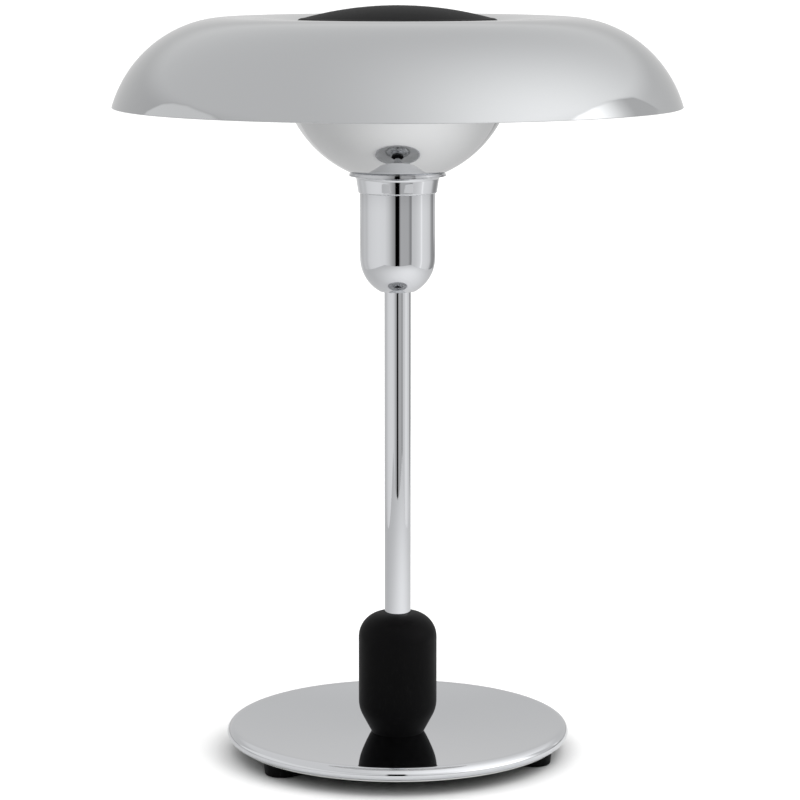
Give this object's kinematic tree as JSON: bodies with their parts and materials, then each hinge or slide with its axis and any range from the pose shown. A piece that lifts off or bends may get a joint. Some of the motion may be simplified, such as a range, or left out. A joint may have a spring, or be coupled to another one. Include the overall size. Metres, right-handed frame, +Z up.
{
  "type": "desk lamp",
  "caption": "Table lamp with a wide polished dome shade and dark cap over a reflector bowl, on a slim stem with a rubber grip and a dished round base.",
  "frame": {"origin": "on the floor under the lamp's axis, at the bottom centre of its bounding box", "axes": "+Z up along the stem, -Y towards the front as pictured, +X to the right"},
  "size_m": [0.298, 0.298, 0.3991],
  "materials": {
    "chrome": "mirror-bright chrome plate",
    "satin_shade": "spun and polished to a soft satin mirror",
    "polished_bowl": "polished",
    "black_cap": "satin black",
    "black_rubber": "matt, smooth",
    "silicone": "translucent grey, matt",
    "cast_iron": "as cast, grey",
    "zinc_steel": "zinc plated",
    "carrier_steel": "nickel plated",
    "white_thermoset": "white thermoset",
    "black_plastic": "black nylon",
    "brass": "bright brass",
    "nickel_brass": "nickel plated brass",
    "opal_glass": "opal, frosted",
    "black_glass": "black vitrite"
  },
  "bodies": {
    "stand": {"base_cover": "chrome", "base_weight": "cast_iron", "base_plate": "zinc_steel", "foot_rear": "black_rubber", "foot_left": "black_rubber", "foot_right": "black_rubber", "foot_screws": "zinc_steel", "lower_nipple": "zinc_steel", "base_washer": "zinc_steel", "base_nut": "zinc_steel", "cord_bush": "black_plastic", "stem": "chrome", "grip": "black_rubber", "cup": "chrome", "upper_nipple": "zinc_steel", "cup_washer": "zinc_steel", "cup_nut": "zinc_steel", "collar": "chrome", "holder_cap": "white_thermoset", "holder_body": "white_thermoset", "holder_insert": "white_thermoset", "screw_shell": "brass", "centre_contact": "brass", "terminal_screws": "brass", "bowl": "polished_bowl", "ring_nut": "white_thermoset", "carrier_ring": "carrier_steel", "carrier_arm_rear": "carrier_steel", "carrier_arm_left": "carrier_steel", "carrier_arm_right": "carrier_steel", "carrier_hub": "carrier_steel", "seat_gasket": "silicone"},
    "shade_with_cap": {"shade": "satin_shade", "shade_boss": "brass", "cap": "black_cap", "cap_stud": "zinc_steel"},
    "bulb": {"bulb_glass": "opal_glass", "bulb_cap": "nickel_brass", "bulb_insulator": "black_glass", "bulb_contact": "nickel_brass"}
  },
  "joints": [
    {"name": "shade_lift", "type": "slide", "parent": "stand", "child": "shade_with_cap", "axis": [0, 0, 1], "range_m": [0, 0.06]},
    {"name": "bulb_turn", "type": "hinge", "parent": "stand", "child": "bulb", "pos_m": [0, 0, 0.308], "axis": [0, 0, 1], "range_deg": [0, 360]}
  ]
}
